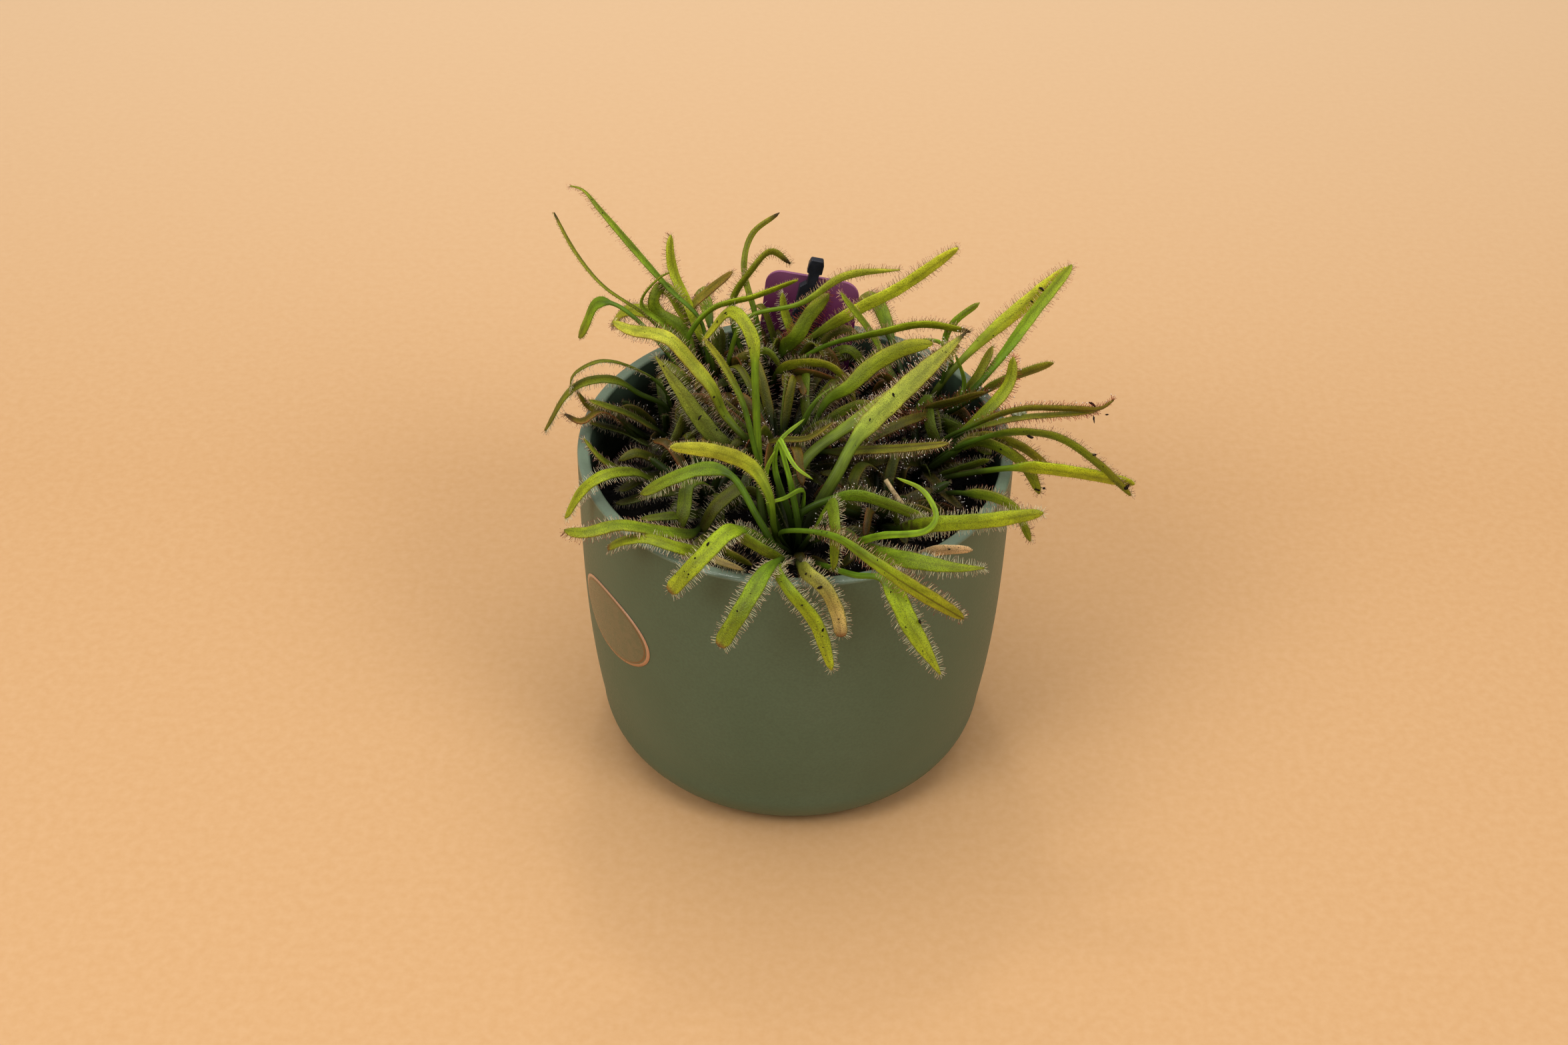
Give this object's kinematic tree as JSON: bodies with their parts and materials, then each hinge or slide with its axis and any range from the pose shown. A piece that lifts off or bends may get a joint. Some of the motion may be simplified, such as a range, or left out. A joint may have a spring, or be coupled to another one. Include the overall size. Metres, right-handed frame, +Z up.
{
  "type": "sundew plant in a pot",
  "caption": "Clump of Cape sundew rosettes with long strap leaves, growing in soil in a round matte pot, with a blank tag and a pick behind.",
  "frame": {"origin": "centre of the pot's flat underside, on the pot's axis", "axes": "+Z up along the pot's axis, -Y towards the front of the plant, +X to its right"},
  "size_m": [0.1475, 0.146, 0.1355],
  "materials": {
    "pot": "matte sage green",
    "sticker": "thin blank label with a copper-coloured outline",
    "soil": "damp dark peat",
    "leaf": "lime to olive green leaf, satin",
    "tag": "dark purple sheet plastic, blank",
    "pick": "black moulded plastic"
  },
  "bodies": {
    "root": {"pot": "pot", "sticker": "sticker", "soil": "soil", "rosette_front": "leaf", "rosette_front_left": "leaf", "rosette_left": "leaf", "rosette_back_left": "leaf", "rosette_back": "leaf", "rosette_middle": "leaf", "rosette_back_right": "leaf", "rosette_right": "leaf", "rosette_front_right": "leaf", "tag": "tag", "pick": "pick"}
  },
  "joints": []
}
